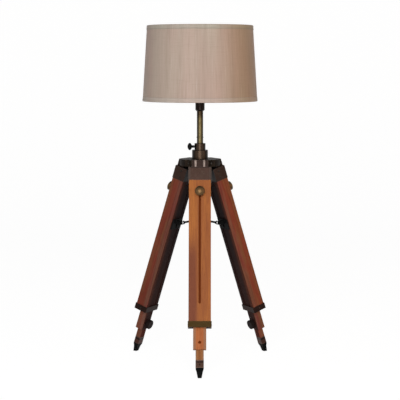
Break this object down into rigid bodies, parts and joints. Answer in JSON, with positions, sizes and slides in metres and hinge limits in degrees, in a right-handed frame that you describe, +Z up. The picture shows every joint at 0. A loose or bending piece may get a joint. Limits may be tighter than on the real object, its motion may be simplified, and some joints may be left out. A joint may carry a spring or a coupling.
{
  "type": "tripod table lamp",
  "caption": "Table lamp with a tapered drum shade on a brass stem, clamped in a bronze head on telescopic wooden tripod legs that fold with a small spreader.",
  "frame": {"origin": "on the floor under the stem's axis, midway between the three feet", "axes": "+Z up along the stem, the front leg towards -Y, the thumbscrew towards -X"},
  "size_m": [0.3108, 0.3041, 0.7466],
  "materials": {
    "head_bronze": "dark antique bronze, semi-gloss",
    "screw_steel": "blackened steel",
    "black_metal": "black, satin",
    "stem_brass": "antique brass, polished",
    "grommet_rubber": "matt black",
    "lampholder_bronze": "dark bronze, satin",
    "lampholder_black": "black moulded",
    "insulator": "off-white moulded insulator",
    "contact_brass": "plain brass",
    "bulb_cap_metal": "rolled metal",
    "bulb_glass": "clear",
    "filament": "yellow coated filaments on a glass post",
    "shade_wire": "white coated wire",
    "shade_liner": "white laminate",
    "shade_fabric": "taupe slub silk",
    "shade_tape": "taupe slub silk, folded",
    "leg_wood": "orange-brown hardwood, satin varnish",
    "cap_bronze": "brown bronze, satin",
    "band_bronze": "dark olive bronze",
    "middle_wood": "orange-brown hardwood, satin varnish",
    "knob_brass": "aged brass",
    "rod_wood": "orange-brown hardwood, satin varnish",
    "ferrule_bronze": "dark bronze",
    "foot_tip": "black steel",
    "foot_knob": "black moulded grip"
  },
  "bodies": {
    "head": {"head_disc": "head_bronze", "head_boss": "head_bronze", "clamp_collar": "head_bronze", "hinge_bolts": "screw_steel", "hinge_nuts": "screw_steel"},
    "stem": {"stem_tube": "stem_brass", "stop_ring": "stem_brass", "cord_grommet": "grommet_rubber", "lampholder_cap": "lampholder_bronze", "lampholder_shell": "lampholder_black", "lampholder_insert": "insulator", "lampholder_contact": "contact_brass", "shade_nuts": "lampholder_black", "bulb_cap": "bulb_cap_metal", "bulb_glass": "bulb_glass", "bulb_filament": "filament", "shade_spider": "shade_wire", "shade_lower_ring": "shade_wire", "shade_upper_ring": "shade_wire", "shade_liner": "shade_liner", "shade_fabric": "shade_fabric", "shade_lower_tape": "shade_tape", "shade_upper_tape": "shade_tape"},
    "thumbscrew": {"stem_thumbscrew": "black_metal"},
    "hub": {"spreader_hub": "black_metal", "spreader_pins": "screw_steel"},
    "leg_front": {"leg_channel_front": "leg_wood", "leg_cap_front": "cap_bronze", "leg_band_front": "band_bronze", "spreader_bracket_front": "black_metal"},
    "middle_front": {"middle_section_front": "middle_wood"},
    "slot_knob_front": {"slot_knob_front": "knob_brass"},
    "foot_front": {"foot_rod_front": "rod_wood", "foot_ferrule_front": "ferrule_bronze", "foot_tip_front": "foot_tip"},
    "foot_knob_front": {"foot_knob_front": "foot_knob"},
    "arm_front": {"spreader_arm_front": "black_metal"},
    "leg_right": {"leg_channel_right": "leg_wood", "leg_cap_right": "cap_bronze", "leg_band_right": "band_bronze", "spreader_bracket_right": "black_metal"},
    "middle_right": {"middle_section_right": "middle_wood"},
    "slot_knob_right": {"slot_knob_right": "knob_brass"},
    "foot_right": {"foot_rod_right": "rod_wood", "foot_ferrule_right": "ferrule_bronze", "foot_tip_right": "foot_tip"},
    "foot_knob_right": {"foot_knob_right": "foot_knob"},
    "arm_right": {"spreader_arm_right": "black_metal"},
    "leg_left": {"leg_channel_left": "leg_wood", "leg_cap_left": "cap_bronze", "leg_band_left": "band_bronze", "spreader_bracket_left": "black_metal"},
    "middle_left": {"middle_section_left": "middle_wood"},
    "slot_knob_left": {"slot_knob_left": "knob_brass"},
    "foot_left": {"foot_rod_left": "rod_wood", "foot_ferrule_left": "ferrule_bronze", "foot_tip_left": "foot_tip"},
    "foot_knob_left": {"foot_knob_left": "foot_knob"},
    "arm_left": {"spreader_arm_left": "black_metal"}
  },
  "joints": [
    {"name": "stem_slide", "type": "slide", "parent": "head", "child": "stem", "axis": [0, 0, 1], "range_m": [-0.012, 0.045]},
    {"name": "thumbscrew_turn", "type": "hinge", "parent": "head", "child": "thumbscrew", "pos_m": [0, 0, 0.48061], "axis": [-1, 0, 0], "range_deg": [0, 540]},
    {"name": "leg_front_fold", "type": "hinge", "parent": "head", "child": "leg_front", "pos_m": [0, -0.037, 0.44601], "axis": [1, 0, 0], "range_deg": [0, 17]},
    {"name": "middle_front_slide", "type": "slide", "parent": "leg_front", "child": "middle_front", "axis": [0, -0.315, -0.9491], "range_m": [0, 0.24]},
    {"name": "slot_knob_front_turn", "type": "hinge", "parent": "middle_front", "child": "slot_knob_front", "pos_m": [0, -0.06545, 0.38591], "axis": [0, -0.9491, 0.315], "range_deg": [0, 540]},
    {"name": "foot_front_slide", "type": "slide", "parent": "middle_front", "child": "foot_front", "axis": [0, -0.315, -0.9491], "range_m": [-0.012, 0.1]},
    {"name": "foot_knob_front_turn", "type": "hinge", "parent": "middle_front", "child": "foot_knob_front", "pos_m": [0, -0.142, 0.06793], "axis": [0, 0.9491, -0.315], "range_deg": [0, 540]},
    {"name": "leg_right_fold", "type": "hinge", "parent": "head", "child": "leg_right", "pos_m": [0.03204, 0.0185, 0.44601], "axis": [-0.5, 0.866, 0], "range_deg": [0, 17]},
    {"name": "middle_right_slide", "type": "slide", "parent": "leg_right", "child": "middle_right", "axis": [0.2728, 0.1575, -0.9491], "range_m": [0, 0.24]},
    {"name": "slot_knob_right_turn", "type": "hinge", "parent": "middle_right", "child": "slot_knob_right", "pos_m": [0.05668, 0.03272, 0.38591], "axis": [0.8219, 0.4745, 0.315], "range_deg": [0, 540]},
    {"name": "foot_right_slide", "type": "slide", "parent": "middle_right", "child": "foot_right", "axis": [0.2728, 0.1575, -0.9491], "range_m": [-0.012, 0.1]},
    {"name": "foot_knob_right_turn", "type": "hinge", "parent": "middle_right", "child": "foot_knob_right", "pos_m": [0.12298, 0.071, 0.06793], "axis": [-0.8219, -0.4745, -0.315], "range_deg": [0, 540]},
    {"name": "leg_left_fold", "type": "hinge", "parent": "head", "child": "leg_left", "pos_m": [-0.03204, 0.0185, 0.44601], "axis": [-0.5, -0.866, 0], "range_deg": [0, 17]},
    {"name": "middle_left_slide", "type": "slide", "parent": "leg_left", "child": "middle_left", "axis": [-0.2728, 0.1575, -0.9491], "range_m": [0, 0.24]},
    {"name": "slot_knob_left_turn", "type": "hinge", "parent": "middle_left", "child": "slot_knob_left", "pos_m": [-0.05668, 0.03272, 0.38591], "axis": [-0.8219, 0.4745, 0.315], "range_deg": [0, 540]},
    {"name": "foot_left_slide", "type": "slide", "parent": "middle_left", "child": "foot_left", "axis": [-0.2728, 0.1575, -0.9491], "range_m": [-0.012, 0.1]},
    {"name": "foot_knob_left_turn", "type": "hinge", "parent": "middle_left", "child": "foot_knob_left", "pos_m": [-0.12298, 0.071, 0.06793], "axis": [0.8219, -0.4745, -0.315], "range_deg": [0, 540]},
    {"name": "hub_rise", "type": "slide", "parent": "head", "child": "hub", "axis": [0, 0, 1], "range_m": [0, 0.0362]},
    {"name": "arm_front_swing", "type": "hinge", "parent": "hub", "child": "arm_front", "pos_m": [0, -0.009, 0.31557], "axis": [1, 0, 0], "range_deg": [0, 76.7]},
    {"name": "arm_right_swing", "type": "hinge", "parent": "hub", "child": "arm_right", "pos_m": [0.00779, 0.0045, 0.31557], "axis": [-0.5, 0.866, 0], "range_deg": [0, 76.7]},
    {"name": "arm_left_swing", "type": "hinge", "parent": "hub", "child": "arm_left", "pos_m": [-0.00779, 0.0045, 0.31557], "axis": [-0.5, -0.866, 0], "range_deg": [0, 76.7]}
  ],
  "couplings": [
    {"joint": "leg_right_fold", "follows": "leg_front_fold", "ratio": 1},
    {"joint": "leg_left_fold", "follows": "leg_front_fold", "ratio": 1},
    {"joint": "hub_rise", "follows": "leg_front_fold", "m_per_rad": 0.12032},
    {"joint": "arm_front_swing", "follows": "leg_front_fold", "ratio": 4.48},
    {"joint": "arm_right_swing", "follows": "leg_front_fold", "ratio": 4.48},
    {"joint": "arm_left_swing", "follows": "leg_front_fold", "ratio": 4.48}
  ]
}
